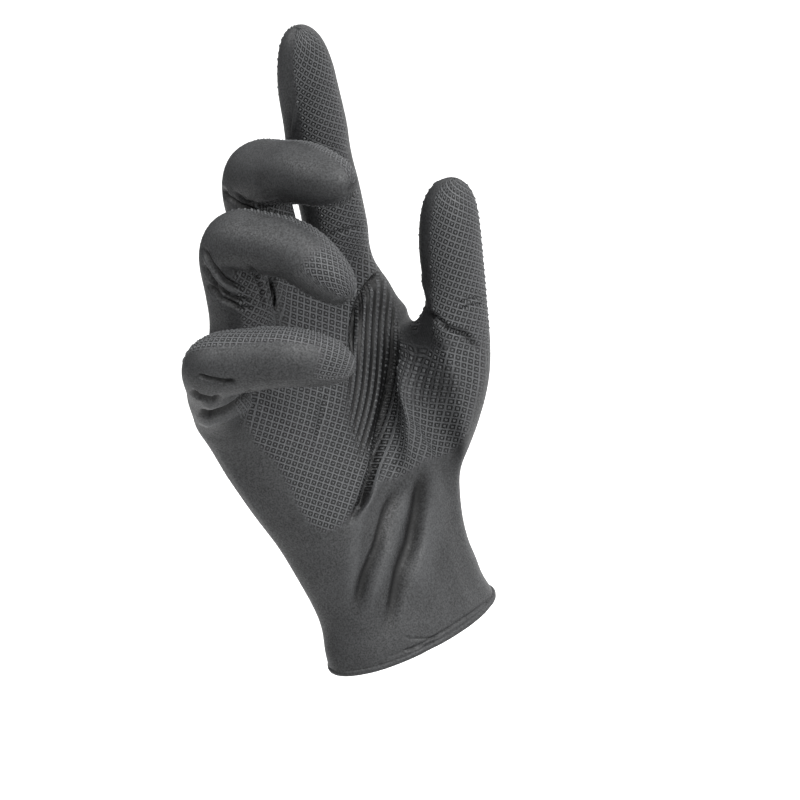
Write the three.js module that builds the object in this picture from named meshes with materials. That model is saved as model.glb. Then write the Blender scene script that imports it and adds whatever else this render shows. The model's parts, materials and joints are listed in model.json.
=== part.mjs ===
import * as THREE from "three";

// A worn disposable glove for a right hand: one dipped film with a hollow palm, four fingers and a thumb,
// an open wrist and a rolled bead round the opening. The index finger points, the others are curled.
// Millimetres. The origin is the middle of the wrist opening, +Z runs up the hand and -Y is the front.

// Sizes of the film.
const WALL = 1;
const BEAD_DIAMETER = 2.2;
const CUFF_SLANT = 8;
const CUFF_ROWS = 6;
const BEAD_SIDES = 8;

// Sizes of the hand that fills it.
const HAND_LENGTH = 120;
const PALM_BREADTH = 86;
const PALM_DEPTH = 30;
const PALM_TURN = 30;
const WEB_RISE = 2.5;

// Rows of the mesh between the opening and the knuckles, and the points round one finger.
const PALM_ROWS = 24;
const SIDE_STEPS = 4;
const FINGER_POINTS = 4 * SIDE_STEPS;
const COLUMNS = 10 * SIDE_STEPS;
const FRONT_SPREAD = 56;

// Sections of the body of the hand. along is a share of HAND_LENGTH; across and breadth, where the middle of the
// section lies and its half width, are shares of PALM_BREADTH; palm and back, the depths before and behind the
// middle, are shares of PALM_DEPTH; square is the power of the section's rounded outline.
const PALM_SECTIONS = [
  { along: 0.0, across: 0.018, breadth: 0.388, palm: 0.72, back: 0.72, square: 2.0 },
  { along: 0.05, across: 0.02, breadth: 0.374, palm: 0.71, back: 0.71, square: 2.0 },
  { along: 0.11, across: 0.048, breadth: 0.37, palm: 0.68, back: 0.69, square: 2.0 },
  { along: 0.2, across: 0.075, breadth: 0.385, palm: 0.66, back: 0.66, square: 2.05 },
  { along: 0.3, across: 0.09, breadth: 0.405, palm: 0.66, back: 0.62, square: 2.1 },
  { along: 0.42, across: 0.105, breadth: 0.43, palm: 0.66, back: 0.57, square: 2.15 },
  { along: 0.54, across: 0.11, breadth: 0.465, palm: 0.62, back: 0.52, square: 2.2 },
  { along: 0.66, across: 0.11, breadth: 0.485, palm: 0.56, back: 0.49, square: 2.3 },
];
const LAST_SECTION = PALM_SECTIONS[PALM_SECTIONS.length - 1].along;

// The fingers from the outer side of the hand to the thumb's side. knuckle is the joint's place: across as a share of
// PALM_BREADTH, forward of PALM_DEPTH and along of HAND_LENGTH. long runs from the knuckle to the tip. bends are the
// joints in degrees, facing the heading that they bend to, and splay the lean to the side. JOINT_ROUND is the share of a
// finger's length that a bend takes, and the STARTs are the angles of the first points of the rings round a finger.
const FINGERS = [
  { name: "little", long: 91, wide: 20, knuckle: [-0.3, 0.11, 0.85], bends: [42, 64, 46], facing: -40, splay: -44 },
  { name: "ring", long: 101, wide: 20.5, knuckle: [-0.127, 0.24, 0.91], bends: [24, 83, 42], facing: -48, splay: 1 },
  { name: "middle", long: 102, wide: 21.5, knuckle: [0.153, 0.05, 1.0], bends: [20, 76, 14], facing: -59, splay: 4 },
  { name: "index", long: 97, wide: 21, knuckle: [0.45, 0.1, 0.97], bends: [27, 0, 3], facing: -60, splay: 0 },
];
const THUMB = { long: 111, wide: 23, knuckle: [0.255, 0.34, 0.363], bends: [-45, 23, -2], facing: 171, splay: 1 };
const FINGER_JOINTS = [0, 0.48, 0.76, 1];
const THUMB_JOINTS = [0, 0.4, 0.7, 1];
const JOINT_ROUND = 0.095;
const FINGER_START = -45;
const THUMB_START = 135;

// Sections of a finger. at is a share of its length from the knuckle; wide, pad and back are shares of its width:
// the full width, the depth on the palm side and the depth on the back.
const FINGER_SECTIONS = [
  { at: 0.14, wide: 1.06, pad: 0.52, back: 0.54 },
  { at: 0.2, wide: 1.03, pad: 0.56, back: 0.5 },
  { at: 0.26, wide: 1.02, pad: 0.56, back: 0.49 },
  { at: 0.33, wide: 1.02, pad: 0.54, back: 0.49 },
  { at: 0.39, wide: 1.03, pad: 0.51, back: 0.52 },
  { at: 0.44, wide: 1.03, pad: 0.44, back: 0.56 },
  { at: 0.49, wide: 1.03, pad: 0.41, back: 0.58 },
  { at: 0.54, wide: 1.02, pad: 0.43, back: 0.54 },
  { at: 0.6, wide: 1.01, pad: 0.49, back: 0.49 },
  { at: 0.66, wide: 0.98, pad: 0.49, back: 0.46 },
  { at: 0.72, wide: 0.97, pad: 0.46, back: 0.47 },
  { at: 0.77, wide: 0.94, pad: 0.44, back: 0.47 },
  { at: 0.82, wide: 0.9, pad: 0.45, back: 0.44 },
  { at: 0.87, wide: 0.83, pad: 0.42, back: 0.4 },
  { at: 0.92, wide: 0.72, pad: 0.37, back: 0.35 },
  { at: 0.96, wide: 0.55, pad: 0.3, back: 0.27 },
  { at: 0.987, wide: 0.32, pad: 0.16, back: 0.15 },
];

// Sections of the thumb. They start slanted, low on the outer side and high at the web: at is their place on the
// outer side, web how much further along the thumb they lie on the web's side.
const THUMB_SECTIONS = [
  { at: 0.16, web: 0.46, wide: 1.32, pad: 0.42, back: 0.5 },
  { at: 0.23, web: 0.41, wide: 1.28, pad: 0.43, back: 0.51 },
  { at: 0.3, web: 0.36, wide: 1.23, pad: 0.44, back: 0.5 },
  { at: 0.37, web: 0.3, wide: 1.17, pad: 0.46, back: 0.49 },
  { at: 0.44, web: 0.24, wide: 1.11, pad: 0.47, back: 0.48 },
  { at: 0.51, web: 0.18, wide: 1.06, pad: 0.47, back: 0.47 },
  { at: 0.57, web: 0.13, wide: 1.03, pad: 0.47, back: 0.46 },
  { at: 0.64, web: 0.07, wide: 1.02, pad: 0.46, back: 0.45 },
  { at: 0.71, web: 0.02, wide: 1.02, pad: 0.47, back: 0.44 },
  { at: 0.78, web: 0.0, wide: 1.01, pad: 0.49, back: 0.42 },
  { at: 0.845, web: 0.0, wide: 0.96, pad: 0.48, back: 0.4 },
  { at: 0.9, web: 0.0, wide: 0.86, pad: 0.44, back: 0.37 },
  { at: 0.945, web: 0.0, wide: 0.7, pad: 0.37, back: 0.32 },
  { at: 0.98, web: 0.0, wide: 0.43, pad: 0.23, back: 0.2 },
];

// The opening in the palm's grid that the thumb grows from: its first row and column and its size in rows.
const THUMB_ROW = 6;
const THUMB_COLUMN = 14;
const THUMB_HIGH = 10;
const THUMB_POINTS = 2 * (THUMB_HIGH + SIDE_STEPS);
const THUMB_BLEND = 3;

// The row where the palm starts to lead into the fingers, how far and how often the film evens out there, and the step
// back, a share of HAND_LENGTH, that gives the way on from the last section.
const KNUCKLE_ROW = 14;
const RELAX_REACH = 3;
const THUMB_RELAX = 8;
const CROWN_RELAX = 2;
const LEAVE_STEP = 0.02;

// Soft forms of the palm and the back of the hand. row and column are their middle in the palm's grid, high and
// wide their reach in rows and columns, and out, a share of PALM_DEPTH, how far they stand out or, below 0, sink in.
const BULGES = [
  { name: "web beside the index finger", row: 17.5, column: 17, high: 2.4, wide: 2.6, out: 0.2 },
  { name: "ball of the thumb", row: 8.5, column: 12, high: 4, wide: 3, out: 0.09 },
  { name: "outer edge of the palm", row: 9, column: 2, high: 5, wide: 3, out: 0.05 },
  { name: "hollow of the palm", row: 13, column: 8, high: 4.5, wide: 3.5, out: -0.09 },
  { name: "index knuckle", row: 19, column: 22, high: 2.5, wide: 1.5, out: 0.07 },
  { name: "middle knuckle", row: 19, column: 26, high: 2.5, wide: 1.5, out: 0.08 },
  { name: "ring knuckle", row: 19, column: 30, high: 2.5, wide: 1.5, out: 0.06 },
  { name: "little knuckle", row: 18.5, column: 34, high: 2.5, wide: 1.5, out: 0.05 },
];

// Folds of the film on the front, straight between two places of the palm's grid, each [row, column]. deep is a share
// of PALM_DEPTH and broad, the half width, a share of PALM_BREADTH.
const FOLDS = [
  { name: "crease round the ball of the thumb", from: [6, 7.5], to: [15.5, 12.5], deep: 0.09, broad: 0.1 },
  { name: "valley from the ball to the cuff", from: [1.5, 9], to: [7, 10.5], deep: 0.04, broad: 0.09 },
  { name: "valley inside the wrist", from: [1.5, 12.5], to: [7, 13], deep: 0.04, broad: 0.08 },
  { name: "crease under the fingers", from: [17, 5], to: [19.5, 11], deep: 0.04, broad: 0.1 },
];

const UP = new THREE.Vector3(0, 0, 1);
const radians = THREE.MathUtils.degToRad;
const ACROSS = new THREE.Vector3(Math.cos(radians(PALM_TURN)), Math.sin(radians(PALM_TURN)), 0);
const FORWARD = new THREE.Vector3(Math.sin(radians(PALM_TURN)), -Math.cos(radians(PALM_TURN)), 0);

// The skin of the glove as one mesh of four-sided faces.
const points = [];
const faces = [];
const addPoint = (p) => points.push(p) - 1;

// A smooth value of one column of a table of sections.
function columnAt(table, key, place, column) {
  let k = 0;
  while (k < table.length - 2 && place > table[k + 1][key]) k += 1;
  const row = (n) => table[Math.min(Math.max(n, 0), table.length - 1)];
  const [a, b] = [row(k), row(k + 1)];
  const t = (place - a[key]) / (b[key] - a[key]);
  const slope = (n) => {
    const [before, after] = [row(n - 1), row(n + 1)];
    return ((after[column] - before[column]) / (after[key] - before[key])) * (b[key] - a[key]);
  };
  const [t2, t3] = [t * t, t * t * t];
  return (
    a[column] * (2 * t3 - 3 * t2 + 1) +
    slope(k) * (t3 - 2 * t2 + t) +
    b[column] * (3 * t2 - 2 * t3) +
    slope(k + 1) * (t3 - t2)
  );
}

// A place given by shares of the palm's breadth and depth and of the hand's length.
function palmPlace(across, forward, along) {
  return new THREE.Vector3()
    .addScaledVector(ACROSS, across * PALM_BREADTH)
    .addScaledVector(FORWARD, forward * PALM_DEPTH)
    .addScaledVector(UP, along * HAND_LENGTH);
}

// The angle of a column round the palm: the front and the back have four fingers' steps each, the sides one.
function columnAngle(column) {
  if (column >= COLUMNS / 2) return columnAngle(column - COLUMNS / 2) + Math.PI;
  const front = 4 * SIDE_STEPS;
  if (column <= front) return radians(90 + FRONT_SPREAD - (2 * FRONT_SPREAD * column) / front);
  return radians((90 - FRONT_SPREAD) * (1 - (2 * (column - front)) / SIDE_STEPS));
}

// A point of the palm's outline at a share of the hand's length.
function palmPoint(along, column) {
  const at = (name) => columnAt(PALM_SECTIONS, "along", along, name);
  const angle = columnAngle(column);
  const power = 2 / at("square");
  const c = Math.sign(Math.cos(angle)) * Math.abs(Math.cos(angle)) ** power;
  const s = Math.sign(Math.sin(angle)) * Math.abs(Math.sin(angle)) ** power;
  const depth = (s > 0 ? at("palm") : at("back")) * PALM_DEPTH;
  return palmPlace(at("across"), 0, along)
    .addScaledVector(FORWARD, s * depth)
    .addScaledVector(ACROSS, c * at("breadth") * PALM_BREADTH);
}

// A finger: its rings of points, the way that it leaves the knuckle and its tip. start is the angle of a ring's first
// point from the pad towards the finger's side.
function digit(spec, joints, sections, count, start) {
  const turn = radians(spec.facing);
  const bendWay = new THREE.Vector3(Math.cos(turn), Math.sin(turn), 0);
  const side = new THREE.Vector3().crossVectors(UP, bendWay);
  const splay = radians(spec.splay);
  const straight = UP.clone().multiplyScalar(Math.cos(splay)).addScaledVector(side, Math.sin(splay));
  side.multiplyScalar(Math.cos(splay)).addScaledVector(UP, -Math.sin(splay));
  const corners = [palmPlace(...spec.knuckle)];
  let tilt = 0;
  spec.bends.forEach((bend, k) => {
    tilt += radians(bend);
    const bone = spec.long * (joints[k + 1] - joints[k]);
    corners.push(
      corners[k].clone()
        .addScaledVector(straight, Math.cos(tilt) * bone)
        .addScaledVector(bendWay, Math.sin(tilt) * bone),
    );
  });
  const line = bonePath(corners, JOINT_ROUND * spec.long);
  const rings = sections.map(({ at, web = 0, wide, pad, back }) =>
    Array.from({ length: count }, (_, q) => {
      const angle = radians(start) + (2 * Math.PI * q) / count;
      const place = at + (web * (1 + Math.cos(angle))) / 2;
      const along = line.getTangentAt(place);
      const lean = Math.atan2(along.dot(bendWay), along.dot(straight));
      const padWay = bendWay.clone().multiplyScalar(Math.cos(lean)).addScaledVector(straight, -Math.sin(lean));
      const depth = Math.cos(angle) > 0 ? pad : back;
      return line.getPointAt(place)
        .addScaledVector(padWay, Math.cos(angle) * depth * spec.wide)
        .addScaledVector(side, (Math.sin(angle) * wide * spec.wide) / 2);
    }),
  );
  return { rings, first: corners[1].clone().sub(corners[0]).normalize(), tip: corners[corners.length - 1] };
}

// The line through a finger's joints, with each bend rounded.
function bonePath(corners, round) {
  const path = new THREE.CurvePath();
  let from = corners[0];
  for (let k = 1; k < corners.length - 1; k += 1) {
    const before = corners[k].clone().lerp(corners[k - 1], round / corners[k].distanceTo(corners[k - 1]));
    const after = corners[k].clone().lerp(corners[k + 1], round / corners[k].distanceTo(corners[k + 1]));
    path.add(new THREE.LineCurve3(from, before));
    path.add(new THREE.QuadraticBezierCurve3(before, corners[k], after));
    from = after;
  }
  path.add(new THREE.LineCurve3(from, corners[corners.length - 1]));
  return path;
}

// Faces between two rings of points, and the cap over a fingertip.
function joinRings(low, high) {
  low.forEach((_, k) => {
    const next = (k + 1) % low.length;
    faces.push([low[k], low[next], high[next], high[k]]);
  });
}

function growDigit(base, rings, tip) {
  let last = base;
  for (const ring of rings) {
    const next = ring.map(addPoint);
    joinRings(last, next);
    last = next;
  }
  const end = addPoint(tip.clone());
  last.forEach((p, k) => faces.push([p, last[(k + 1) % last.length], end]));
}

// Each free point moves to the middle of its neighbours, again and again, as a stretched film does.
function relax(free, steps) {
  const near = points.map(() => new Set());
  for (const face of faces) {
    face.forEach((p, k) => {
      const q = face[(k + 1) % face.length];
      near[p].add(q);
      near[q].add(p);
    });
  }
  for (let n = 0; n < steps; n += 1) {
    const moved = [...free].map((p) => {
      const mean = new THREE.Vector3();
      near[p].forEach((q) => mean.add(points[q]));
      return [p, mean.multiplyScalar(1 / near[p].size)];
    });
    for (const [p, mean] of moved) points[p].copy(mean);
  }
}

const digits = FINGERS.map((spec) => digit(spec, FINGER_JOINTS, FINGER_SECTIONS, FINGER_POINTS, FINGER_START));
const thumb = digit(THUMB, THUMB_JOINTS, THUMB_SECTIONS, THUMB_POINTS, THUMB_START);

// Places in the palm's last row: the front and the back have one finger's steps for each finger.
const FRONT = 4 * SIDE_STEPS;
const BACK = FRONT + SIDE_STEPS;
const onward = digits.slice(1).map((finger, f) => digits[f].first.clone().add(finger.first).normalize());

// A point of web f, midway between two points of the fingers beside it and as low as the lower of them.
function webPoint(f, p, q, rise) {
  const way = onward[f];
  const middle = p.clone().lerp(q, 0.5);
  const down = middle.dot(way) - Math.min(p.dot(way), q.dot(way));
  return middle.addScaledVector(way, rise - down);
}

// Where a column of the palm's last row ends on the fingers' first rings, and the way on from there.
function crownEnd(column) {
  const first = (f, q) => digits[f].rings[0][q % FINGER_POINTS];
  if (column > FRONT && column < BACK) return [first(3, column - FRONT + SIDE_STEPS), digits[3].first];
  if (column > BACK + FRONT) return [first(0, column - BACK - FRONT + 3 * SIDE_STEPS), digits[0].first];
  const onBack = column >= BACK;
  const folded = onBack ? BACK + FRONT - column : column;
  const f = Math.min(Math.floor(folded / SIDE_STEPS), 3);
  const step = folded - f * SIDE_STEPS;
  const place = (finger, along) => first(finger, onBack ? 3 * SIDE_STEPS - along : along);
  if (step > 0 || f === 0) return [place(f, step), digits[f].first];
  return [webPoint(f - 1, place(f - 1, SIDE_STEPS), place(f, 0), 0), onward[f - 1]];
}

// The body of the hand: rows of points from the opening to the fingers' first rings.
const rows = [];
const inThumbHole = (row, column) =>
  row > THUMB_ROW && row < THUMB_ROW + THUMB_HIGH && column > THUMB_COLUMN && column < THUMB_COLUMN + SIDE_STEPS;
for (let r = 0; r <= PALM_ROWS; r += 1) {
  rows.push(
    Array.from({ length: COLUMNS }, (_, c) => {
      if (inThumbHole(r, c)) return null;
      if (r <= KNUCKLE_ROW) {
        const p = palmPoint((r / KNUCKLE_ROW) * LAST_SECTION, c);
        const slant = Math.tan(radians(CUFF_SLANT)) * Math.max(0, 1 - r / CUFF_ROWS);
        p.z += BEAD_DIAMETER * (1 - r / KNUCKLE_ROW) - p.x * slant;
        return addPoint(p);
      }
      const from = palmPoint(LAST_SECTION, c);
      const [to, way] = crownEnd(c);
      const span = from.distanceTo(to);
      const leave = from.clone().sub(palmPoint(LAST_SECTION - LEAVE_STEP, c)).normalize();
      const curve = new THREE.CubicBezierCurve3(
        from,
        from.clone().addScaledVector(leave, span / 3),
        to.clone().addScaledVector(way, -span / 3),
        to,
      );
      return addPoint(curve.getPoint((r - KNUCKLE_ROW) / (PALM_ROWS - KNUCKLE_ROW)));
    }),
  );
}
for (let r = 0; r < PALM_ROWS; r += 1) {
  for (let c = 0; c < COLUMNS; c += 1) {
    const next = (c + 1) % COLUMNS;
    const besideThumb = c < THUMB_COLUMN || c >= THUMB_COLUMN + SIDE_STEPS;
    const hole = r >= THUMB_ROW && r < THUMB_ROW + THUMB_HIGH && !besideThumb;
    if (!hole) faces.push([rows[r][c], rows[r][next], rows[r + 1][next], rows[r + 1][c]]);
  }
}

// The webs between the fingers, shared by the two fingers beside each.
const crown = rows[PALM_ROWS];
const webs = onward.map((_, f) => {
  const web = [crown[(f + 1) * SIDE_STEPS]];
  for (let k = 1; k < SIDE_STEPS; k += 1) {
    const p = digits[f].rings[0][SIDE_STEPS + k];
    const q = digits[f + 1].rings[0][FINGER_POINTS - k];
    web.push(addPoint(webPoint(f, p, q, WEB_RISE * Math.sin((Math.PI * k) / SIDE_STEPS))));
  }
  web.push(crown[BACK + (3 - f) * SIDE_STEPS]);
  return web;
});

digits.forEach((finger, f) => {
  const palmSide = crown.slice(f * SIDE_STEPS, (f + 1) * SIDE_STEPS);
  const thumbSide = f < 3 ? webs[f].slice(0, -1) : crown.slice(FRONT, BACK);
  const backFrom = BACK + (3 - f) * SIDE_STEPS;
  const backSide = crown.slice(backFrom, backFrom + SIDE_STEPS);
  const outerSide = f > 0 ? [...webs[f - 1]].reverse().slice(0, -1) : crown.slice(COLUMNS - SIDE_STEPS);
  growDigit([...palmSide, ...thumbSide, ...backSide, ...outerSide], finger.rings.slice(1), finger.tip);
});
const knuckles = new Set([...webs.flat(), ...crown, ...rows[PALM_ROWS - 1], ...rows[PALM_ROWS - 2]]);
relax(knuckles, CROWN_RELAX);

// The thumb grows from the rim of its opening in the palm.
const rim = [];
for (let k = 0; k < SIDE_STEPS; k += 1) rim.push(rows[THUMB_ROW][THUMB_COLUMN + k]);
for (let k = 0; k < THUMB_HIGH; k += 1) rim.push(rows[THUMB_ROW + k][THUMB_COLUMN + SIDE_STEPS]);
for (let k = 0; k < SIDE_STEPS; k += 1) rim.push(rows[THUMB_ROW + THUMB_HIGH][THUMB_COLUMN + SIDE_STEPS - k]);
for (let k = 0; k < THUMB_HIGH; k += 1) rim.push(rows[THUMB_ROW + THUMB_HIGH - k][THUMB_COLUMN]);
const blends = [];
for (let k = 1; k < THUMB_BLEND; k += 1)
  blends.push(rim.map((p, q) => points[p].clone().lerp(thumb.rings[0][q], k / THUMB_BLEND)));
const firstBlend = points.length;
growDigit(rim, [...blends, ...thumb.rings], thumb.tip);
const thumbBase = new Set();
for (let p = firstBlend; p < firstBlend + blends.length * THUMB_POINTS; p += 1) thumbBase.add(p);
for (let r = THUMB_ROW - RELAX_REACH; r <= THUMB_ROW + THUMB_HIGH + RELAX_REACH; r += 1) {
  for (let c = THUMB_COLUMN - RELAX_REACH; c <= THUMB_COLUMN + SIDE_STEPS + RELAX_REACH; c += 1) {
    const id = rows[Math.min(r, PALM_ROWS - 1)][c];
    if (id !== null) thumbBase.add(id);
  }
}
relax(thumbBase, THUMB_RELAX);

// The outward normal at every point of the skin.
function pointNormals() {
  const normals = points.map(() => new THREE.Vector3());
  const [ab, ac, n] = [new THREE.Vector3(), new THREE.Vector3(), new THREE.Vector3()];
  for (const [a, b, c, d] of faces) {
    ab.subVectors(points[c], points[a]);
    ac.subVectors(points[d ?? c], points[b]);
    n.crossVectors(ab, ac);
    for (const p of d === undefined ? [a, b, c] : [a, b, c, d]) normals[p].add(n);
  }
  return normals.map((v) => v.normalize());
}

// The bulges and folds move the palm's points along their normals.
function gridPlace([row, column]) {
  const [r, c] = [Math.floor(row), Math.floor(column)];
  const low = points[rows[r][c]].clone().lerp(points[rows[r][c + 1]], column - c);
  const high = points[rows[r + 1][c]].clone().lerp(points[rows[r + 1][c + 1]], column - c);
  return low.lerp(high, row - r);
}

function shapePalm() {
  const normals = pointNormals();
  const lines = FOLDS.map((fold) => new THREE.Line3(gridPlace(fold.from), gridPlace(fold.to)));
  const nearest = new THREE.Vector3();
  const moves = [];
  rows.slice(0, PALM_ROWS).forEach((row, r) => {
    row.forEach((id, c) => {
      if (id === null) return;
      let out = 0;
      for (const b of BULGES) out += b.out * Math.exp(-(((r - b.row) / b.high) ** 2) - ((c - b.column) / b.wide) ** 2);
      FOLDS.forEach((fold, k) => {
        lines[k].closestPointToPoint(points[id], true, nearest);
        const far = nearest.distanceTo(points[id]) / (fold.broad * PALM_BREADTH);
        if (far < 1) out -= fold.deep * (1 - far * far) ** 2;
      });
      moves.push([id, out * PALM_DEPTH]);
    });
  });
  for (const [id, out] of moves) points[id].addScaledVector(normals[id], out);
}
shapePalm();

// The wall: an inner skin one wall inside the outer one, and the bead that joins them round the opening.
function film() {
  const normals = pointNormals();
  const inner = points.map((p, k) => p.clone().addScaledVector(normals[k], -WALL));
  const outerCount = points.length;
  const skin = [...points, ...inner];
  const triangles = [];
  const addFace = (ids) => {
    for (let k = 1; k < ids.length - 1; k += 1) triangles.push([ids[0], ids[k], ids[k + 1]]);
  };
  faces.forEach(addFace);
  for (const [a, b, c] of [...triangles]) triangles.push([c + outerCount, b + outerCount, a + outerCount]);
  // Round the opening the section of the bead is part of a circle that starts and ends on the wall.
  const edge = rows[0];
  const beadRings = [edge];
  const radius = BEAD_DIAMETER / 2;
  const open = Math.asin(WALL / BEAD_DIAMETER);
  for (let s = 0; s < BEAD_SIDES; s += 1) {
    const angle = open + ((2 * Math.PI - 2 * open) * s) / (BEAD_SIDES - 1);
    beadRings.push(
      edge.map((id) => {
        const middle = points[id].clone().lerp(inner[id], 0.5);
        const out = normals[id].clone().setZ(0).normalize();
        return (
          skin.push(
            middle.addScaledVector(out, Math.sin(angle) * radius).addScaledVector(UP, (Math.cos(angle) - 1) * radius),
          ) - 1
        );
      }),
    );
  }
  beadRings.push(edge.map((id) => id + outerCount));
  for (let s = 0; s < beadRings.length - 1; s += 1) {
    edge.forEach((_, k) => {
      const next = (k + 1) % edge.length;
      addFace([beadRings[s][next], beadRings[s][k], beadRings[s + 1][k], beadRings[s + 1][next]]);
    });
  }
  const geometry = new THREE.BufferGeometry();
  geometry.setAttribute("position", new THREE.Float32BufferAttribute(skin.flatMap((p) => p.toArray()), 3));
  geometry.setIndex(triangles.flat());
  geometry.computeVertexNormals();
  return geometry;
}

const nitrile = new THREE.MeshStandardMaterial({ color: 0x2b2c2e, roughness: 0.6, metalness: 0 });
const glove = new THREE.Mesh(film(), nitrile);
glove.name = "glove_film";

const group = new THREE.Group();
group.add(glove);

export default group;
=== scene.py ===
import json
import math

import bpy
import numpy as np
from mathutils import Matrix, Vector

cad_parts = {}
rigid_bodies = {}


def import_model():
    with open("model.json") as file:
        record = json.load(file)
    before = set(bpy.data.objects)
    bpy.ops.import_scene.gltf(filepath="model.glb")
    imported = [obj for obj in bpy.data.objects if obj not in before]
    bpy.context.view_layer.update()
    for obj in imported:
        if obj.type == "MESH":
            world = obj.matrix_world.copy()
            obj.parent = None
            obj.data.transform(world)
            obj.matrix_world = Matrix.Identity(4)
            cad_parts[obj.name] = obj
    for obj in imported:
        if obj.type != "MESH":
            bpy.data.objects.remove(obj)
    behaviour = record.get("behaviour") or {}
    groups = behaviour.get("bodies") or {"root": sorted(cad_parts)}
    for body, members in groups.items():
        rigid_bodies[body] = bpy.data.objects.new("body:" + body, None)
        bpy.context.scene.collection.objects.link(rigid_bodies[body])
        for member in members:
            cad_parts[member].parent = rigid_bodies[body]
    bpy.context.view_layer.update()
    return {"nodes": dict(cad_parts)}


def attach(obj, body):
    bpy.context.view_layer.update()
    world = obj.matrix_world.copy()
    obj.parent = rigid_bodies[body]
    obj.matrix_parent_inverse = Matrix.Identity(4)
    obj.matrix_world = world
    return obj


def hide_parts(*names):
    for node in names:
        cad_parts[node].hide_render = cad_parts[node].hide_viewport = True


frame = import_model()

# A worn nitrile glove: its skin is the CAD film's own outer wall, rounded, folded and given its grip.
# A stall is one of the glove's five tubes for a finger. Metres, in the CAD frame: the wrist opening at
# the origin, +Z up the glove, -Y the front.
MM = 0.001
UP = np.array([0.0, 0.0, 1.0])

# What keeps a sum or a length from being zero, and the distance within which vertices are merged.
TINY = 1e-12
MERGE_REACH = 0.01 * MM

# The photo's camera. One pixel covers PIXEL metres in the plane that lies PLANE_DEPTH before the origin.
PHOTO_SIDE = 800
PIXEL = 0.335 * MM
WRIST_PIXEL = (410, 637)
CAMERA_LEAN = math.radians(15)
CAMERA_ROLL = math.radians(27)
CAMERA_DISTANCE = 0.75
PLANE_DEPTH = 0.015
SENSOR = 36
CLIP_START = 0.01

# The form's sizes, as in the CAD source.
HAND_LENGTH = 0.120
PALM_BREADTH = 0.086
PALM_DEPTH = 0.030
PALM_TURN = math.radians(30)
CUFF_SLANT = math.radians(8)
JOINT_ROUND = 0.095
FINGER_JOINTS = (0, 0.48, 0.76, 1)
THUMB_JOINTS = (0, 0.4, 0.7, 1)
BEAD_DIAMETER = 0.0022

# The CAD bead is cut off BEAD_CLEARANCE above it. The film's edge is drawn down from there by HEM_REACH,
# and a smooth bead runs round it, BEAD_INSET inside it.
BEAD_CLEARANCE = 0.5 * MM
HEM_REACH = 0.0014
BEAD_INSET = 0.0004
BEAD_ROUNDNESS = 4

# The stalls as in the CAD source, and where their grip lies: pad and back are the middle and the half
# width of its two faces, in degrees from the side that the stall bends to, counterclockwise as seen from
# its tip. Beyond the share all_round of its length the grip goes all round. From the share start the
# stall's own measure takes over from the palm's, and from full on it holds alone. arc is how far the bends
# shift that measure, 1 where it isn't given.
STALLS = (
    dict(name="little", long=0.091, wide=0.020, knuckle=(-0.3, 0.11, 0.85), bends=(42, 64, 46),
         facing=-40, splay=-44, joints=FINGER_JOINTS, start=0.04, full=0.24,
         pad=(0, 45), back=(140, 30), all_round=0.8),
    dict(name="ring", long=0.101, wide=0.0205, knuckle=(-0.127, 0.24, 0.91), bends=(24, 83, 42),
         facing=-48, splay=1, joints=FINGER_JOINTS, start=0.04, full=0.24,
         pad=(0, 45), back=(138, 30), all_round=0.78),
    dict(name="middle", long=0.102, wide=0.0215, knuckle=(0.153, 0.05, 1.0), bends=(20, 76, 14),
         facing=-59, splay=4, joints=FINGER_JOINTS, start=0.04, full=0.24,
         pad=(0, 45), back=(133, 36), all_round=0.97),
    dict(name="index", long=0.097, wide=0.021, knuckle=(0.45, 0.1, 0.97), bends=(27, 0, 3),
         facing=-60, splay=0, joints=FINGER_JOINTS, start=0.04, full=0.24,
         pad=(-16, 46), back=(180, 45), all_round=1.1),
    dict(name="thumb", long=0.111, wide=0.023, knuckle=(0.255, 0.34, 0.363), bends=(-45, 23, -2),
         facing=171, splay=1, joints=THUMB_JOINTS, start=0.42, full=0.58,
         pad=(115, 66), back=(295, 60), all_round=1.1, arc=0),
)

# Points on each rounded joint of a stall's middle line, and on the line as a whole.
JOINT_POINTS = 20
LINE_POINTS = 120

# A vertex can belong to a stall within MEMBER_REACH times its width of its middle line. Below FREE_SHARE
# of the stall's length it also has to be nearer to it than to the others, measured in widths.
MEMBER_REACH = 0.85
FREE_SHARE = 0.45

# Half a stall's depth as a share of its width, and the angles between which its measure changes sides.
HALF_DEPTH = 0.45
SIDE_BAND = (60, 120)

# How often the two walls are divided to round them.
OUTER_LEVELS = 2
INNER_LEVELS = 1

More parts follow.
